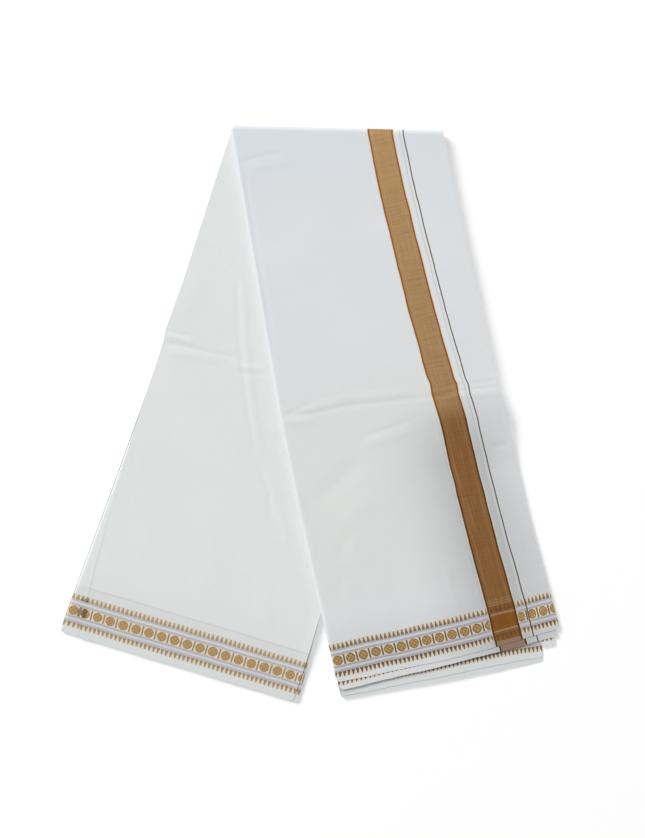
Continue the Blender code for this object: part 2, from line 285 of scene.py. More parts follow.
# The distance from medallions to medallions, hem to hem, which every layer's weave is given.
# Near a hem the weave follows the hem, and the difference in length is taken up further in.
MEDALLION_SPAN = 1200.0
FOLLOWS_HEM = 30.0
FOLLOWS_HEM_FADE = 60.0
EVENED_OUT_FROM = 120.0
UV_NAME = "cloth"

# How far a line is carried on past its ends
LINE_OVERSHOOT = 300.0


def linear(hex_colour):
    """Scene-linear red, green and blue from an sRGB hex value."""
    shares = [int(hex_colour[place:place + 2], 16) / 255 for place in (1, 3, 5)]
    return tuple(c / 12.92 if c <= 0.04045 else ((c + 0.055) / 1.055) ** 2.4 for c in shares)


def colour_property(label, description, hex_colour):
    """A colour setting that starts at an sRGB hex value."""
    return FloatVectorProperty(
        name=label, description=description, subtype="COLOR", size=3, min=0.0, max=1.0,
        default=linear(hex_colour),
    )


# ---------------- settings


class DhotiCloth(bpy.types.PropertyGroup):
    """The cloth's thickness, creasing, weave and colours"""

    thickness: FloatProperty(
        name="Cloth thickness", description="Thickness of one layer, with its nap",
        default=0.0003, unit="LENGTH",
    )
    creasing: FloatProperty(
        name="Creasing", description="How deep the creases and soft folds are", default=0.72,
    )
    thread: FloatProperty(
        name="Thread spacing", description="Spacing of the threads in the weave's relief",
        default=0.0009, unit="LENGTH",
    )
    cotton: colour_property("Cotton", "Bleached cotton ground", "#ECEEF0")
    reverse_cotton: colour_property("Reverse cotton", "Ground of the cloth's other face", "#EFF2F1")
    gold: colour_property("Gold", "Flat gold thread of the band", "#B99262")
    gold_edge: colour_property("Gold edge", "Dense orange-brown edges of the band", "#A06014")
    brown: colour_property("Brown", "Dark thread of teeth, bars and pinstripe", "#5F4322")
    reverse: colour_property("Reverse", "The dark thread on the cloth's other face", "#8E6C38")
    cream: colour_property("Cream", "Pale thread round the motifs", "#EBDABB")
    medallion: colour_property("Medallion", "Gold thread of the round motifs", "#CDA565")
    lilac: colour_property("Lilac", "Lilac lines of the border", "#B3ABC0")
    pink_gold: colour_property("Pink gold", "Worn gold below the band's teeth", "#B49480")
    green: colour_property("Green", "Pale green lines of the border", "#D2D5CA")


class DhotiStudio(bpy.types.PropertyGroup):
    """The camera, the floor and the light"""

    distance: FloatProperty(
        name="Camera distance", description="From the camera to the point that it looks at",
        default=1.25, unit="LENGTH",
    )
    tilt: FloatProperty(
        name="Camera tilt", description="How far the camera leans back from straight down",
        default=math.radians(6.0), unit="ROTATION",
    )
    lens: FloatProperty(
        name="Lens", description="Focal length on a 36 mm frame", default=46.7, unit="CAMERA",
    )
    floor: colour_property("Floor", "Plain pale floor", "#E1E1E1")
    key_power: FloatProperty(
        name="Key light", description="Power of the large soft light", default=1430.0, unit="POWER",
    )
    fill: FloatProperty(
        name="Fill light", description="Strength of the even light from all round", default=0.40,
    )


# ---------------- the sheets' shape


def soft_line(corners):
    """Points along rows of (x, y, turn), with each corner eased from that far on either side."""
    points = [np.array(corners[0][:2])]
    for before, here, after in zip(corners, corners[1:], corners[2:]):
        corner = np.array(here[:2])
        ends = []
        for neighbour in (before, after):
            step = np.array(neighbour[:2]) - corner
            ends.append(corner + step * here[2] / np.linalg.norm(step))
        for share in np.linspace(0.0, 1.0, TURN_POINTS):
            rest = 1 - share
            points.append(rest ** 2 * ends[0] + 2 * share * rest * corner + share ** 2 * ends[1])
    points.append(np.array(corners[-1][:2]))
    return np.array(points)


def line_length(line):
    """The length of a line of points."""
    return np.linalg.norm(np.diff(line, axis=0), axis=1).sum()


def along_line(line, shares):
    """Points at these shares of a line's length."""
    steps = np.linalg.norm(np.diff(line, axis=0), axis=1)
    reached = np.concatenate([[0.0], np.cumsum(steps)]) / steps.sum()
    return np.column_stack([np.interp(shares, reached, line[:, axis]) for axis in (0, 1)])


def waver(distance, phase):
    """A small uneven wave, from -1 to 1, for edges that aren't ruled straight."""
    waves = zip((1, 2, 3), WAVE_LENGTHS, WAVE_WEIGHTS)
    return sum(w * np.sin(2 * np.pi * distance / length + k * phase) for k, length, w in waves)


def lip_columns(lip):
    """How far in from a side edge a lip's columns lie, and the share of the lip that each turns."""
    if not lip:
        return np.zeros(1), np.zeros(1)
    turn = np.linspace(np.pi / 2, 0.0, LIP_STEPS)
    return LIP_REACH * abs(lip) * (1 - np.sin(turn)), 1 - np.cos(turn)


def across_strip(layer, step):
    """Distances of a sheet's columns from the strip's left edge, and each lip's share there."""
    (left, left_turn), (right, right_turn) = [lip_columns(lip) for lip in layer.front_lips]
    left = layer.insets[0] + left
    right = STRIP_WIDTH - layer.insets[1] - right[::-1]
    count = int((right[0] - left[-1]) / step)
    flat = np.linspace(left[-1], right[0], count + 1)[1:-1]
    columns = np.concatenate([left, flat, right])
    left_share = np.concatenate([left_turn, np.zeros(len(flat) + len(right))])
    right_share = np.concatenate([np.zeros(len(left) + len(flat)), right_turn[::-1]])
    return columns, left_share, right_share


def leg_plan(left, right, hem, columns, step, phase):
    """A leg's plan points, in rows from the hem up, and each row's distance from the hem."""
    hem = np.array(hem)
    left_line = soft_line(left + ((*hem[0], 0.0),))
    right_line = soft_line(right + ((*hem[-1], 0.0),))
    length = max(line_length(left_line), line_length(right_line))
    count = int((length - HEM_ROWS[-1]) / step)
    from_hem = np.concatenate([HEM_ROWS[:-1], np.linspace(HEM_ROWS[-1], length, count + 1)])
    down = 1 - from_hem / length

    rounding = np.clip(HEM_CORNER - from_hem, 0.0, None)
    corner = HEM_CORNER - np.sqrt(HEM_CORNER ** 2 - rounding ** 2)
    across = corner[:, None] + columns * (1 - 2 * corner[:, None] / STRIP_WIDTH)
    share = across[..., None] / STRIP_WIDTH
    plan = along_line(left_line, down)[:, None] * (1 - share)
    plan += along_line(right_line, down)[:, None] * share

    straight = hem[0] + share[0] * (hem[-1] - hem[0])
    bow = np.interp(straight[:, 0], hem[:, 0], hem[:, 1]) - straight[:, 1]
    near_hem = np.clip(1 - from_hem / HEM_BOW_REACH, 0.0, 1.0) ** 2
    plan[..., 1] += bow * near_hem[:, None]
    plan[..., 1] += HEM_WAVER * waver(plan[..., 0], phase) * near_hem[:, None]
    edge = np.exp(-(STRIP_WIDTH - across) / EDGE_WAVER_REACH)
    middle = 4 * down * (1 - down)
    side_wave = waver(plan[..., 1], phase + EDGE_PHASE)
    plan[..., 0] += EDGE_WAVER * side_wave * edge * middle[:, None]
    return plan, from_hem


def crease_height(plan, creases):
    """The height that the creases add at each plan point."""
    height = np.zeros(plan.shape[:-1])
    for crease in creases:
        points = np.array(crease.points, float)
        length = line_length(points)
        nearest = np.full(height.shape, np.inf)
        reached = np.zeros(height.shape)
        passed = 0.0
        for start, end in zip(points, points[1:]):
            step = end - start
            stretch = np.linalg.norm(step)
            share = np.clip((plan - start) @ step / stretch ** 2, 0.0, 1.0)
            gap = np.linalg.norm(plan - start - share[..., None] * step, axis=-1)
            closer = gap < nearest
            nearest = np.where(closer, gap, nearest)
            reached = np.where(closer, (passed + share * stretch) / length, reached)
            passed += stretch
        rise = np.clip(1 - nearest / crease.half_width, 0.0, 1.0)
        profile = crease.point * rise ** POINTED_POWER
        profile += (1 - crease.point) * rise ** 2 * (3 - 2 * rise)
        ends = np.clip(np.minimum(reached, 1 - reached) / crease.fade, 0.0, 1.0)
        height += crease.height * profile * ends * ends * (3 - 2 * ends)
    return height


def ease(value, start, end):
    """A smooth step from 0 at the start to 1 at the end."""
    share = np.clip((value - start) / (end - start), 0.0, 1.0)
    return 0.5 - 0.5 * np.cos(np.pi * share)


def front_fall(plan):
    """How far the front leg has come down to the floor, from 0 to 1, in all and by the band."""
    edge = np.array(BACK_EDGE_HEM) - np.array(FOLD_RIGHT)
    down = edge / np.linalg.norm(edge)
    outward = (plan - np.array(FOLD_RIGHT)) @ np.array([-down[1], down[0]])
    below_fold = ease(plan[..., 1], FALL_STARTS, FALL_ENDS)
    at_band = below_fold * ease(right_of_band(plan), *BAND_FALL_WIDTH)
    at_edge = below_fold * ease(outward, *EDGE_DIP_WIDTH)
    return EDGE_DIP * at_edge + (1 - EDGE_DIP) * at_band, at_band


def clear_of_front(plan):
    """1 on the part of the back leg that shows, dying away to 0 under the front leg."""
    line = soft_line((*FRONT_LEFT, FRONT_LEFT_HEM))
    edge = np.interp(plan[..., 1], line[::-1, 1], line[::-1, 0])
    return np.clip((edge - CLEAR_GAP - plan[..., 0]) / CLEAR_LENGTH, 0.0, 1.0)


def above_line(plan, line):
    """How far each plan point lies above a line that runs from left to right."""
    line = np.array(line)
    slope = (line[-1, 1] - line[0, 1]) / (line[-1, 0] - line[0, 0])
    beyond = (LINE_OVERSHOOT, LINE_OVERSHOOT * slope)
    line = np.vstack([line[0] - beyond, line, line[-1] + beyond])
    straight_up = plan[..., 1] - np.interp(plan[..., 0], line[:, 0], line[:, 1])
    return straight_up * math.cos(math.atan(slope))


def medallion_line(hem, left_margin, right_margin):
    """The line through the border's medallions, set in from a hem by its margins."""
    hem = np.array(hem)
    run = hem[-1] - hem[0]
    share = (hem - hem[0]) @ run / (run @ run)
    run /= np.linalg.norm(run)
    margin = left_margin + share * (right_margin - left_margin)
    return hem + margin[:, None] * np.array([-run[1], run[0]])


def right_of_band(plan):
    """How far each plan point lies to the right of the gold band's left edge."""
    line = np.array(BAND_LINE[::-1])
    slope = (line[-1, 0] - line[-2, 0]) / (line[-1, 1] - line[-2, 1])
    beyond = np.clip(plan[..., 1] - line[-1, 1], 0.0, None) * slope
    return (plan[..., 0] - np.interp(plan[..., 1], line[:, 1], line[:, 0]) - beyond) * BAND_LEAN


def press_at(plan, hem):
    """How flat the stack is pressed at each plan point: 1 is not at all, and least at the hem."""
    return 1 - HEM_PRESS * ease(above_line(plan, hem), HEM_PRESS_LENGTH, 0.0)


def front_heights(front, radius, low, creasing):
    """The front leg's heights, from a low of half the cloth, and how flat it is pressed."""
    fall, at_band = front_fall(front)
    flat = press_at(front, STRIP[-1].front_hem)
    press = flat * (1 - SIDE_PRESS * at_band)
    height = low + (FOLD_RADIUS + radius - LAP_HEIGHT - low) * press
    height += LAP_HEIGHT * (1 - fall) * flat
    return height + crease_height(front, FRONT_CREASES) * creasing, press


def back_heights(back, radius, low, creasing):
    """The back leg's heights, from a low of half the cloth, and how flat it is pressed."""
    press = press_at(back, STRIP[-2].back_hem)
    height = low + (FOLD_RADIUS - radius - low) * press
    return height + crease_height(back, BACK_CREASES) * clear_of_front(back) * creasing, press


def shape_sheet(order, settings):
    """The grid of a layer's points and its weave coordinates, front hem first, in metres."""
    layer = STRIP[order]
    thickness = settings.thickness / MM
    pitch = (LEG_HEIGHT - thickness) / (LAYERS - 1)
    radius = FOLD_RADIUS - thickness / 2 - order * pitch
    front_step, back_step = layer.steps
    columns, left_share, right_share = across_strip(layer, min(layer.steps))

    front, front_run = leg_plan(
        FRONT_LEFT, FRONT_RIGHT, layer.front_hem, columns, front_step, order
    )
    back, back_run = leg_plan(
        layer.back_left, layer.back_right, layer.back_hem, columns, back_step, order + BACK_PHASE
    )
    back = back[::-1]
    fold_steps = max(FEWEST_FOLD_STEPS, int(np.pi * radius / FOLD_STEP))
    fold_turns = np.linspace(0.0, np.pi, fold_steps + 1)[1:-1]
    run = np.subtract(FOLD_RIGHT, FOLD_LEFT)
    axis = FOLD_LEFT + columns[:, None] / STRIP_WIDTH * run
    outward = np.array([-run[1], run[0]]) / np.linalg.norm(run)

    low = thickness / 2
    inward = order / (LAYERS - 1)
    front_height, front_press = front_heights(front, radius, low, settings.creasing * (1 - inward))
    back_height, back_press = back_heights(back, radius, low, settings.creasing * inward)

    turns = np.concatenate([np.zeros(len(front)), fold_turns, np.full(len(back), np.pi)])
    turned = 0.5 - 0.5 * np.cos(turns)
    lips = np.outer(1 - turned, layer.front_lips) + np.outer(turned, layer.back_lips)
    lip = pitch * (lips[:, :1] * left_share + lips[:, 1:] * right_share)
    lip[:len(front)] *= front_press * ease(front_run, 0.0, LIP_DIES_AWAY)[:, None]
    lip[-len(back):] *= back_press * ease(back_run[::-1], 0.0, LIP_DIES_AWAY)[:, None]
    points = np.zeros((len(turns), len(columns), 3))
    folded = slice(len(front), len(front) + len(fold_turns))
    points[:len(front), :, :2] = front
    points[:len(front), :, 2] = front_height
    points[folded, :, :2] = axis + outward * (radius * np.sin(fold_turns))[:, None, None]
    points[folded, :, 2] = (FOLD_RADIUS + radius * np.cos(fold_turns))[:, None]
    points[folded.stop:, :, :2] = back
    points[folded.stop:, :, 2] = back_height
    points[..., :2] += outward * (lip * np.sin(turns)[:, None])[..., None]
    points[..., 2] += lip * np.cos(turns)[:, None]
    points[..., 2] = np.maximum(points[..., 2], low)
    points[..., :2] += PLAN_ZERO

    weave = weave_coordinates(order, points, front, back, columns, folded)
    return points * MM, weave * MM


def weave_coordinates(order, points, front, back, columns, folded):
    """Distance to the right of the gold band, and along the strip from the front medallions."""
    layer = STRIP[order]
    across = np.tile(columns, (len(points), 1))
    if order < BANDED_LAYERS:
        across[:len(front)] = right_of_band(front) - SECOND_BAND_SHIFT * order
        across[len(front):] = across[len(front) - 1]
    front_line = medallion_line(layer.front_hem, *layer.margin)
    if order == 0:
        front_line = TOP_MEDALLION_LINE
    front_up = above_line(front, front_line)
    back_up = above_line(back, medallion_line(layer.back_hem, BACK_MARGIN, BACK_MARGIN))
    steps = np.linalg.norm(np.diff(points, axis=0), axis=-1)
    along = np.concatenate([np.zeros((1, len(columns))), np.cumsum(steps, axis=0)])
    along = front_up[0] + along
    off_hem = np.clip((front_up - FOLLOWS_HEM) / FOLLOWS_HEM_FADE, 0.0, 1.0)
    along[:len(front)] = front_up * (1 - off_hem) + along[:len(front)] * off_hem
    total = along[folded.stop] + back_up[0]
    spread = np.clip((along - EVENED_OUT_FROM) / (total - 2 * EVENED_OUT_FROM), 0.0, 1.0)
    along = along + (MEDALLION_SPAN - total) * spread
    off_hem = np.clip((back_up - FOLLOWS_HEM) / FOLLOWS_HEM_FADE, 0.0, 1.0)
    from_back = MEDALLION_SPAN - back_up
    along[folded.stop:] = from_back * (1 - off_hem) + along[folded.stop:] * off_hem
    return np.stack([across, along], axis=-1)


def build_sheet(order, settings, material):
    """Build one layer of the strip as a thin closed piece, with its own weave coordinates."""
    layer = STRIP[order]
    points, weave = shape_sheet(order, settings)
    rows, columns = points.shape[:2]
    index = np.arange(rows * columns).reshape(rows, columns)
    faces = np.stack([index[:-1, :-1], index[:-1, 1:], index[1:, 1:], index[1:, :-1]], axis=-1)
    mesh = bpy.data.meshes.new(layer.name)
    mesh.from_pydata(points.reshape(-1, 3).tolist(), [], faces.reshape(-1, 4).tolist())
    corners = np.zeros(len(mesh.loops), dtype=np.int32)
    mesh.loops.foreach_get("vertex_index", corners)
    uv_map = mesh.uv_layers.new(name=UV_NAME)
    uv_map.data.foreach_set("uv", weave.reshape(-1, 2)[corners].ravel())
    piece = bpy.data.objects.new(layer.name, mesh)
    bpy.context.scene.collection.objects.link(piece)

    bpy.ops.object.select_all(action="DESELECT")
    piece.select_set(True)
    bpy.context.view_layer.objects.active = piece
    wall = piece.modifiers.new("cloth wall", "SOLIDIFY")
    wall.thickness = settings.thickness
    wall.offset = 0.0
    bpy.ops.object.modifier_apply(modifier=wall.name)
    bpy.ops.object.shade_smooth_by_angle(angle=SMOOTH_ANGLE)
    mesh.materials.append(material)

    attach(piece, "root")
    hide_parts(*layer.stands_for)


# ---------------- materials


def fill_inputs(tree, node, inputs):
    """Link each of these inputs of a node to a socket, or set it to a value."""
    for key, value in dict(inputs).items():
        if isinstance(value, bpy.types.NodeSocket):
            tree.links.new(value, node.inputs[key])
        else:
            node.inputs[key].default_value = value


def add_node(tree, kind, inputs=(), output=0, **settings):
    """Add a node, set its properties, link or set its inputs, and return one of its outputs."""
    node = tree.nodes.new(kind)
    for name, value in settings.items():
        setattr(node, name, value)
    fill_inputs(tree, node, inputs)
    return node.outputs[output]


def calculate(tree, formula):
    """Turn a nested (operation, value, ...) formula into nodes, and return its result."""
    if not isinstance(formula, tuple):
        return formula
    operation, *values = formula
    inputs = {place: calculate(tree, value) for place, value in enumerate(values)}
    return add_node(tree, "ShaderNodeMath", inputs, operation=operation)


def within(value, centre, half_width):
    """1 where a value lies within a half width of a centre, and 0 elsewhere."""
    return ("COMPARE", value, centre, half_width)


def both(first, second):
    """1 where two formulas are both 1."""
    return ("MULTIPLY", first, second)


def between(value, start, end):
    """A straight ramp from 0 at the start to 1 at the end."""
    share = ("MULTIPLY", ("SUBTRACT", value, start), 1 / (end - start))
    return ("MINIMUM", ("MAXIMUM", share, 0.0), 1.0)


def paint(tree, ground, coats):
    """Lay coats of (where, colour, strength) over a ground colour, one after another."""
    for where, colour, strength in coats:
        share = calculate(tree, both(where, strength))
        inputs = {0: share, 6: ground, 7: (*colour, 1.0)}
        ground = add_node(tree, "ShaderNodeMix", inputs, 2, data_type="RGBA")
    return ground


WHITE = (1.0, 1.0, 1.0, 1.0)

# Cotton: its roughness and sheen, its cloudier places as shares of the ground's red, green and
# blue, how the noise is stretched into weft and warp threads, and how far the pattern drifts, as
# on a hand loom, which comes to about half a millimetre
COTTON_IOR = 1.47
COTTON_ROUGHNESS = 0.85
COTTON_SPECULAR = 0.3
SHEEN = 0.15
SHEEN_ROUGHNESS = 0.5
CLOUD_SCALE = 9.0
COOLER = (0.94, 0.965, 0.975)
WEFT_STRETCH = (0.03, 1.1, 0.0)
WARP_STRETCH = (1.1, 0.02, 0.0)
SLUB_GREY = linear("#DADBDB")
DRIFT_SCALE = 26.0
DRIFT_MM = 2.2

# The weave's relief: its strength, its height in metres, and how much the slubs add to it
RELIEF_STRENGTH = 0.5
RELIEF_HEIGHT = 0.00012
SLUB_RELIEF = 1.5

# The border, in mm above the line through its medallions. Its plain lines are rows of (middle,
# half width, colour, strength), in the order that they are laid.
TOOTH_PITCH = 4.85
TOOTH_HALF_WIDTH = TOOTH_PITCH * 0.36
TOOTH_STEPS = 4.0
BLUNT_TIP = 0.12
UPPER_TEETH = (12.3, 18.6)
LOWER_TEETH = (-12.9, -18.9)
MEDALLION_PITCH = 14.5
MEDALLION_RADIUS = 5.3
MEDALLION_RIM = 0.9
ROW_HALF_WIDTH = 5.4
BARS_FROM = 6.3
LATTICE_PITCH = 3.3
LATTICE_HALF_LINE = 0.45
DIAGONAL = 0.707
BORDER_LINES = (
    (15.4, 3.2, "cream", 0.85),  # behind the teeth
    (-15.9, 3.1, "cream", 0.80),
    (11.4, 0.7, "lilac", 0.85),
    (9.4, 1.3, "green", 0.45),
    (7.1, 1.0, "lilac", 0.85),
    (-7.1, 0.9, "lilac", 0.95),
    (-9.3, 1.3, "green", 0.75),
    (-11.6, 1.0, "lilac", 0.85),
    (0.0, 6.0, "cream", 0.80),  # behind the medallions, and the edges of their row
    (5.8, 0.3, "dark", 0.35),
    (-5.8, 0.3, "dark", 0.35),
)

# The gold band, in mm to the right of its left edge. It and the pinstripe spread a little
# towards the hem, and beyond it the border's weave is tighter and shifted. Below the pack fold,
# at a set distance above the medallions, the band is painted darker and browner: painted
# shade, for the part that catches less of the light.
BAND_WIDTH = 30.3
BAND_EDGE = 1.0
BAND_FRINGE = 0.6
SHADOW_HALF = 4.6
STRIPE_INSET = 5.4
STRIPE_HALF = 0.35
PALE_LINE = 37.9
PALE_LINE_HALF = 0.6
PALE_LINE_GREY = linear("#BFC0B6")
PINSTRIPE = 42.3
PINSTRIPE_HALF = 0.7
SPREAD_AT_HEM = 1.05
SPREAD_LOST_PER_MM = 0.000178
TIGHTER_BEYOND_BAND = 0.124
SHIFT_BEYOND_BAND = 1.74
BAND_SHADE_STARTS = 250.0
BAND_SHADE_GROWS_OVER = 24.0
BAND_METAL = 0.5
BAND_SMOOTHER = 0.43

# The border's plain lines where they run over the gold band, in the same columns
LINES_OVER_BAND = (
    (25.6, 0.6, "cream", 0.12),
    (22.8, 0.6, "cream", 0.18),
    (20.4, 0.6, "cream", 0.16),
    (15.8, 2.6, "gold_edge", 0.40),
    (9.6, 0.7, "cream", 0.35),
    (0.0, 7.6, "gold_edge", 0.75),
    (-9.2, 0.7, "cream", 0.35),
    (-15.6, 4.6, "gold_edge", 0.30),
)
WORN_BELOW = -20.4

# Grey for painted shade: a shadow seen through the thin cloth, and the front leg's shaded
# parts. And the white's tints on the front leg
SHADE = linear("#B3B5B5")
TOP_FOLD_WHITE = linear("#E2E9EF")
LOW_MIDDLE_WHITE = linear("#EAECE8")

# The back leg's two top layers: how strongly their border shows, and where they lie double,
# across them from their left edges, with the border on itself slightly shifted
OTHER_FACE_DEPTH = 0.85
DOUBLED_SIDE = {"seventh": (14.5, 4.5), "inner": (1.5, 3.0)}
DOUBLED_ROWS = (6.0, 13.5)
DOUBLED_SHIFT = 1.6
DOUBLED_DEPTH = 0.8


def teeth(across, up, base, tip):
    """A row of stepped triangles that stand on a base line and point to a tip line."""
    height = ("DIVIDE", ("SUBTRACT", up, base), tip - base)
    stepped = ("DIVIDE", ("FLOOR", ("MULTIPLY", height, TOOTH_STEPS)), TOOTH_STEPS)
    half = ("MULTIPLY", ("SUBTRACT", 1 + BLUNT_TIP, stepped), TOOTH_HALF_WIDTH)
    inside = ("LESS_THAN", ("PINGPONG", across, TOOTH_PITCH / 2), half)
    return both(inside, within(up, (base + tip) / 2, abs(tip - base) / 2))


def line_coats(up, lines, colours, dark=None):
    """The coats of a table of plain lines, where "dark" is the dark thread of this face."""
    coats = []
    for middle, half_width, name, strength in lines:
        colour = dark if name == "dark" else getattr(colours, name)
        coats.append((within(up, middle, half_width), colour, strength))
    return coats


def border_coats(across, up, colours, dark, depth):
    """The border along a hem: teeth, lines, medallions with bars between, lines and teeth."""
    offset = ("PINGPONG", across, MEDALLION_PITCH / 2)
    radius = ("SQRT", ("ADD", ("MULTIPLY", offset, offset), ("MULTIPLY", up, up)))
    medallion = ("LESS_THAN", radius, MEDALLION_RADIUS)
    strokes = [
        ("PINGPONG", ("MULTIPLY", (way, across, up), DIAGONAL), LATTICE_PITCH / 2)
        for way in ("SUBTRACT", "ADD")
    ]
    lattice = ("LESS_THAN", ("MINIMUM", *strokes), LATTICE_HALF_LINE)
    bars = both(within(up, 0.0, ROW_HALF_WIDTH), ("GREATER_THAN", offset, BARS_FROM))
    coats = line_coats(up, BORDER_LINES, colours, dark) + [
        (bars, dark, 0.90),
        (medallion, dark, 0.80),
        (("LESS_THAN", radius, MEDALLION_RADIUS - MEDALLION_RIM), colours.medallion, 0.90),
        (both(lattice, medallion), dark, 0.55),
        (teeth(across, up, *UPPER_TEETH), dark, 0.80),
        (teeth(across, up, *LOWER_TEETH), dark, 0.90),
        (within(up, LOWER_TEETH[0], 0.3), dark, 0.35),
    ]
    return [(where, colour, strength * depth) for where, colour, strength in coats]


def band_shade_part(up):
    """1 along the gold band's part below the pack fold, which is painted darker as painted shade."""
    return between(up, BAND_SHADE_STARTS, BAND_SHADE_STARTS - BAND_SHADE_GROWS_OVER)


def gold_coats(across, up, weft, warp, colours):
    """The coats that turn flat gold into the band's: painted shade below the pack fold, threads,
    streaks, and the border over it.
    """
    offset = ("PINGPONG", across, MEDALLION_PITCH / 2)
    medallion = both(within(up, 0.0, SHADOW_HALF), ("LESS_THAN", offset, SHADOW_HALF))
    return [
        # painted shade: below the pack fold the gold is painted darker and browner
        (band_shade_part(up), colours.gold_edge, 0.66),
        (band_shade_part(up), colours.brown, 0.20),
        (("MAXIMUM", ("SUBTRACT", weft, 0.5), 0.0), colours.brown, 1.3),
        (("MAXIMUM", ("SUBTRACT", 0.5, warp), 0.0), colours.cream, 0.6),
        (within(across, STRIPE_INSET, STRIPE_HALF), colours.cream, 0.12),
        (within(across, BAND_WIDTH - STRIPE_INSET, STRIPE_HALF), colours.cream, 0.12),
        *line_coats(up, LINES_OVER_BAND, colours),
        (medallion, colours.brown, 0.15),
        (teeth(across, up, *UPPER_TEETH), colours.brown, 0.55),
        (teeth(across, up, *LOWER_TEETH), colours.brown, 0.50),
        (("LESS_THAN", up, WORN_BELOW), colours.pink_gold, 0.85),
    ]


def weave_sockets(tree):
    """Places across and along the strip in mm, cloudy whites, and uneven weft and warp threads."""
    cloth = add_node(tree, "ShaderNodeUVMap", uv_map=UV_NAME)
    in_mm = add_node(tree, "ShaderNodeVectorMath", {0: cloth, 3: 1 / MM}, operation="SCALE")
    noise = {"Vector": cloth, "Scale": DRIFT_SCALE, "Detail": 2.0}
    drift = add_node(tree, "ShaderNodeTexNoise", noise, 1)
    centred = {0: drift, 1: (0.5, 0.5, 0.5)}
    drift = add_node(tree, "ShaderNodeVectorMath", centred, operation="SUBTRACT")
    drift = add_node(tree, "ShaderNodeVectorMath", {0: drift, 3: DRIFT_MM}, operation="SCALE")
    place = add_node(tree, "ShaderNodeVectorMath", {0: in_mm, 1: drift}, operation="ADD")
    across = add_node(tree, "ShaderNodeSeparateXYZ", {0: place}, 0)
    along = add_node(tree, "ShaderNodeSeparateXYZ", {0: place}, 1)

    noise = {"Vector": cloth, "Scale": CLOUD_SCALE, "Detail": 3.0}
    clouds = add_node(tree, "ShaderNodeTexNoise", noise)
    threads = []
    for stretch in (WEFT_STRETCH, WARP_STRETCH):
        run = add_node(tree, "ShaderNodeVectorMath", {0: in_mm, 1: stretch}, operation="MULTIPLY")
        noise = {"Vector": run, "Scale": 1.0, "Detail": 2.0}
        threads.append(add_node(tree, "ShaderNodeTexNoise", noise))
    return across, along, clouds, *threads


def show_through_shade_coats(across, up, back_layer):
    """Painted shade that what lies under the back leg's two top layers casts near their hem, in mm."""
    # painted shade near the hem, from the layers under it
    coats = [(("LESS_THAN", up, 28.8), SHADE, 0.13)]
    if back_layer == "inner":
        # painted shade: the hidden layers' hems, as a faint line above the teeth, and a shaded
        # line along the left side's edge
        side_edge = both(within(across, 1.2, 1.2), between(up, 150.0, 60.0))
        coats += [
            (within(up, 28.4, 1.4), SHADE, 0.09),
            (within(up, 28.0, 0.8), SHADE, 0.08),
            (side_edge, SHADE, 0.16),
        ]
    return coats


def front_leg_tints_and_painted_shade(across, up):
    """The front leg's white: cooler by the top fold, warmer in the lower half's middle, left of
    the band, and darker with painted shade beside the band below the pack fold and at the low
    right corner.

    The places are in mm, up from the medallions and across from the gold band's left edge.
    """
    low_half = between(up, BAND_SHADE_STARTS + 10.0, BAND_SHADE_STARTS - 60.0)
    low_middle = both(between(up, 340.0, 260.0), between(up, 30.0, 90.0))
    near_band = both(between(across, -92.0, 0.0), between(across, 105.0, 30.0))
    low_corner = both(between(up, 170.0, 70.0), between(across, 25.0, 60.0))
    return [
        (between(up, 470.0, 560.0), TOP_FOLD_WHITE, 0.70),
        (both(low_middle, ("LESS_THAN", across, BAND_WIDTH)), LOW_MIDDLE_WHITE, 0.60),
        # painted shade: at the low right corner, beside the band, and along its two sides
        (low_corner, SHADE, 0.22),
        (both(low_half, both(near_band, near_band)), SHADE, 0.59),
        (both(low_half, within(across, -2.0, 2.0)), SHADE, 0.25),
        (both(low_half, within(across, 35.5, 3.0)), SHADE, 0.22),
    ]


def doubled_coats(across, up, below, colours, back_layer):
    """Beside the inner fold the border lies on itself, and the dark threads below show too."""
    side = both(within(across, *DOUBLED_SIDE[back_layer]), within(up, *DOUBLED_ROWS))
    dark = colours.brown
    coats = border_coats(below, up, colours, dark, DOUBLED_DEPTH)
    return [(both(side, where), dark, depth) for where, colour, depth in coats if colour is dark]


def lay_gold_band(tree, ground, across, up, weft, warp, colours):
    """Lay the gold band, its edges and the lines to its right, and return where the band is too."""
    spread = ("SUBTRACT", SPREAD_AT_HEM, ("MULTIPLY", up, SPREAD_LOST_PER_MM))
    on_band = calculate(tree, ("DIVIDE", across, spread))
    in_band = calculate(tree, within(on_band, BAND_WIDTH / 2, BAND_WIDTH / 2))
    gold = paint(tree, (*colours.gold, 1.0), gold_coats(on_band, up, weft, warp, colours))
    mix = {0: in_band, 6: ground, 7: gold}
    ground = add_node(tree, "ShaderNodeMix", mix, 2, data_type="RGBA")
    edges = [within(on_band, middle, BAND_EDGE) for middle in (BAND_EDGE, BAND_WIDTH - BAND_EDGE)]
    coats = [
        (within(on_band, -BAND_FRINGE, BAND_FRINGE), colours.cream, 0.5),
        (within(on_band, BAND_WIDTH + BAND_FRINGE, BAND_FRINGE), colours.cream, 0.5),
        *[(edge, colours.gold_edge, 1.0) for edge in edges],
        # painted shade: below the pack fold the band's edges are painted dark brown
        *[(both(band_shade_part(up), edge), colours.brown, 0.95) for edge in edges],
        (within(on_band, PALE_LINE, PALE_LINE_HALF), PALE_LINE_GREY, 0.5),
        (within(on_band, PINSTRIPE, PINSTRIPE_HALF), colours.brown, 0.95),
    ]
    return paint(tree, ground, coats), in_band


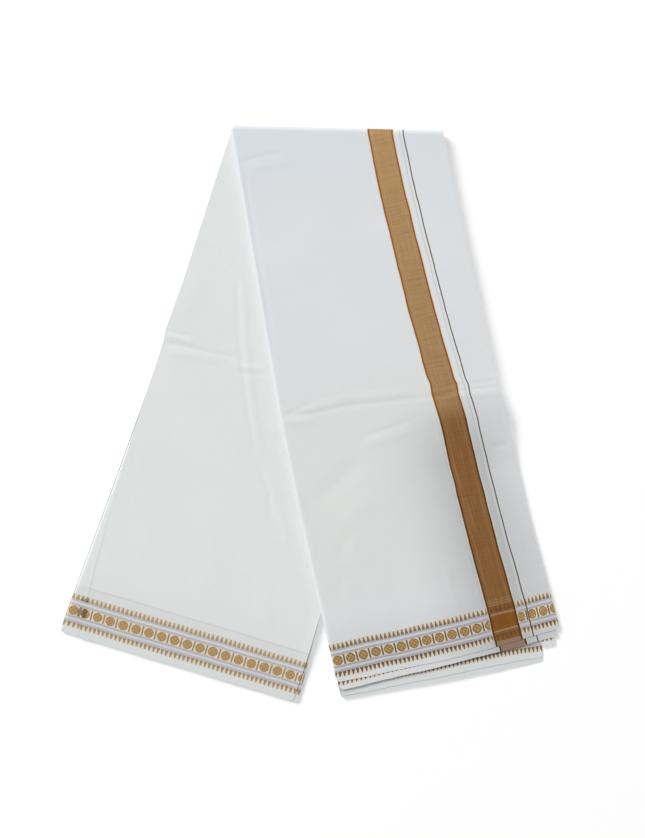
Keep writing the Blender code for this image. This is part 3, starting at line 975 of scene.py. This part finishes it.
def cotton_cloth(name, settings, shift, gold_band=False, back_layer=None):
    """Bleached plain-weave cotton: white, matt and slightly furry, with coloured border threads.

    The gold band is flat metallic thread, which gives the eye a soft brassy shine that comes
    and goes with the light, between two dense orange-brown edges. The shift moves the border's
    repeat, in mm. The back leg's two top layers, "seventh" and "inner", show the cloth's other
    face, where the border's dark thread is paler.
    """
    material = bpy.data.materials.new(name)
    material.use_nodes = True
    tree = material.node_tree
    across, along, clouds, weft, warp = weave_sockets(tree)
    up = calculate(tree, ("MINIMUM", along, ("SUBTRACT", MEDALLION_SPAN, along)))
    slubs = calculate(tree, ("ADD", weft, warp))

    cotton = tuple(settings.reverse_cotton if back_layer else settings.cotton)
    cool = tuple(c * share for c, share in zip(cotton, COOLER))
    coats = [
        (("MULTIPLY", ("SUBTRACT", clouds, 0.35), 1.6), cool, 1.0),
        (("MAXIMUM", ("MULTIPLY", ("SUBTRACT", slubs, 1.0), 1.3), 0.0), SLUB_GREY, 0.35),
    ]
    woven = ("ADD", across, shift)
    dark, depth = settings.brown, 1.0
    if back_layer:
        dark, depth = settings.reverse, OTHER_FACE_DEPTH
        coats += show_through_shade_coats(across, up, back_layer)
    if gold_band:
        beyond = ("ADD", ("MULTIPLY", across, TIGHTER_BEYOND_BAND), SHIFT_BEYOND_BAND)
        woven = ("ADD", woven, both(("GREATER_THAN", across, BAND_WIDTH), beyond))
        coats += front_leg_tints_and_painted_shade(across, up)
    woven = calculate(tree, woven)
    coats += border_coats(woven, up, settings, dark, depth)
    if back_layer == "seventh":
        # its front hem shows darker teeth
        front_half = ("LESS_THAN", along, MEDALLION_SPAN / 2)
        coats.append((both(teeth(woven, up, *LOWER_TEETH), front_half), settings.brown, 0.62))
    if back_layer:
        below = calculate(tree, ("ADD", woven, DOUBLED_SHIFT))
        coats += doubled_coats(across, up, below, settings, back_layer)
    ground = paint(tree, (*cotton, 1.0), coats)

    roughness, metal = COTTON_ROUGHNESS, 0.0
    if gold_band:
        ground, in_band = lay_gold_band(tree, ground, across, up, weft, warp, settings)
        metal = calculate(tree, ("MULTIPLY", in_band, BAND_METAL))
        smoother = ("MULTIPLY", in_band, BAND_SMOOTHER)
        roughness = calculate(tree, ("SUBTRACT", COTTON_ROUGHNESS, smoother))

    # plain weave, drawn about three times as coarse as the real threads, so that it shows
    turns = 2 * math.pi * MM / settings.thread
    waves = [("SINE", ("MULTIPLY", value, turns)) for value in (across, along)]
    height = calculate(tree, ("ADD", both(*waves), ("MULTIPLY", slubs, SLUB_RELIEF)))
    bump = {"Strength": RELIEF_STRENGTH, "Distance": RELIEF_HEIGHT, "Height": height}
    normal = add_node(tree, "ShaderNodeBump", bump)
    fill_inputs(tree, tree.nodes["Principled BSDF"], {
        "Base Color": ground, "Roughness": roughness, "Metallic": metal, "Normal": normal,
        "IOR": COTTON_IOR, "Specular IOR Level": COTTON_SPECULAR,
        "Sheen Weight": SHEEN, "Sheen Roughness": SHEEN_ROUGHNESS,
    })
    return material


def matt_white_board(studio):
    """A plain floor: a matt board with no shine, and a glow that keeps it as pale as the room."""
    material = bpy.data.materials.new("matt_white_board")
    material.use_nodes = True
    tree = material.node_tree
    fill_inputs(tree, tree.nodes["Principled BSDF"], {
        "Base Color": (*studio.floor, 1.0), "Roughness": 1.0, "Specular IOR Level": 0.0,
        "Emission Color": WHITE, "Emission Strength": FLOOR_GLOW,
    })
    return material


# ---------------- operators

# The studio, in metres from the frame's zero
FLOOR_SIZE = 8.0
FLOOR_GLOW = 0.36
KEY_PLACE = Vector((-7.4, 7.5, 7.8))
KEY_SIZE = 5.4
AIM = Vector((0.01465, -0.01425, 0.0))


def lay_sheets(context, orders, name, shift, **face):
    """Make one of the cloth's materials, and lay these layers of the strip in it."""
    settings = context.scene.dhoti_cloth
    material = cotton_cloth(name, settings, shift, **face)
    for order in orders:
        build_sheet(order, settings, material)


class DHOTI_OT_outer_layer(bpy.types.Operator):
    """Lay the outermost sheet: the front leg's top layer, with the gold band"""

    bl_idname = "dhoti.outer_layer"
    bl_label = "Outer layer"

    def execute(self, context):
        lay_sheets(context, [0], "banded_cotton_outer", shift=1.3, gold_band=True)
        return {"FINISHED"}


class DHOTI_OT_second_layer(bpy.types.Operator):
    """Lay the sheet under the front leg's top layer, with the cloth's other gold band"""

    bl_idname = "dhoti.second_layer"
    bl_label = "Second layer"

    def execute(self, context):
        lay_sheets(context, [1], "banded_cotton_second", shift=6.0, gold_band=True)
        return {"FINISHED"}


class DHOTI_OT_hidden_layers(bpy.types.Operator):
    """Lay the sheets in the middle of the stack, which show at the hems and the side edges"""

    bl_idname = "dhoti.hidden_layers"
    bl_label = "Hidden layers"

    def execute(self, context):
        hidden = range(BANDED_LAYERS, LAYERS - 2)
        lay_sheets(context, hidden, "bordered_cotton_hidden", shift=0.0)
        return {"FINISHED"}


class DHOTI_OT_inner_layers(bpy.types.Operator):
    """Lay the two innermost sheets, which are the back leg's top layers"""

    bl_idname = "dhoti.inner_layers"
    bl_label = "Inner layers"

    def execute(self, context):
        seventh, inner = [LAYERS - 2], [LAYERS - 1]
        lay_sheets(context, seventh, "bordered_cotton_seventh", shift=7.9, back_layer="seventh")
        lay_sheets(context, inner, "bordered_cotton_inner", shift=11.9, back_layer="inner")
        return {"FINISHED"}


class DHOTI_OT_studio(bpy.types.Operator):
    """Set up the pale floor, the soft light and the camera"""

    bl_idname = "dhoti.studio"
    bl_label = "Studio"

    def execute(self, context):
        studio = context.scene.dhoti_studio
        bpy.ops.mesh.primitive_plane_add(size=FLOOR_SIZE)
        floor = context.active_object
        floor.name = "floor"
        floor.data.materials.append(matt_white_board(studio))

        bpy.ops.object.light_add(type="AREA", location=KEY_PLACE)
        key = context.active_object
        key.name = "key_light"
        key.rotation_euler = (-KEY_PLACE).to_track_quat("-Z", "Y").to_euler()
        key.data.size = KEY_SIZE
        key.data.energy = studio.key_power

        world = bpy.data.worlds.new("soft_room")
        world.use_nodes = True
        background = world.node_tree.nodes["Background"]
        background.inputs["Color"].default_value = WHITE
        background.inputs["Strength"].default_value = studio.fill
        context.scene.world = world
        context.scene.view_settings.view_transform = "Standard"

        bpy.ops.object.camera_add()
        camera = context.active_object
        back = Vector((0.0, -math.sin(studio.tilt), math.cos(studio.tilt)))
        camera.location = AIM + back * studio.distance
        camera.rotation_euler = (studio.tilt, 0.0, 0.0)
        camera.data.lens = studio.lens
        context.scene.camera = camera
        return {"FINISHED"}


class DHOTI_PT_panel(bpy.types.Panel):
    """The sidebar's buttons, one for each operator, and the settings"""

    bl_label = "Folded dhoti"
    bl_idname = "DHOTI_PT_panel"
    bl_space_type = "VIEW_3D"
    bl_region_type = "UI"
    bl_category = "Dhoti"

    def draw(self, context):
        for operator in OPERATORS:
            self.layout.operator(operator.bl_idname)
        for settings in (context.scene.dhoti_cloth, context.scene.dhoti_studio):
            for name in settings.__annotations__:
                self.layout.prop(settings, name)


OPERATORS = (
    DHOTI_OT_outer_layer, DHOTI_OT_second_layer, DHOTI_OT_hidden_layers, DHOTI_OT_inner_layers,
    DHOTI_OT_studio,
)
CLASSES = (DhotiCloth, DhotiStudio, *OPERATORS, DHOTI_PT_panel)


def register():
    for each in CLASSES:
        bpy.utils.register_class(each)
    bpy.types.Scene.dhoti_cloth = PointerProperty(type=DhotiCloth)
    bpy.types.Scene.dhoti_studio = PointerProperty(type=DhotiStudio)


def unregister():
    del bpy.types.Scene.dhoti_studio
    del bpy.types.Scene.dhoti_cloth
    for each in reversed(CLASSES):
        bpy.utils.unregister_class(each)


def main():
    register()
    bpy.ops.dhoti.studio()
    bpy.ops.dhoti.outer_layer()
    bpy.ops.dhoti.second_layer()
    bpy.ops.dhoti.hidden_layers()
    bpy.ops.dhoti.inner_layers()


if __name__ == "__main__":
    main()
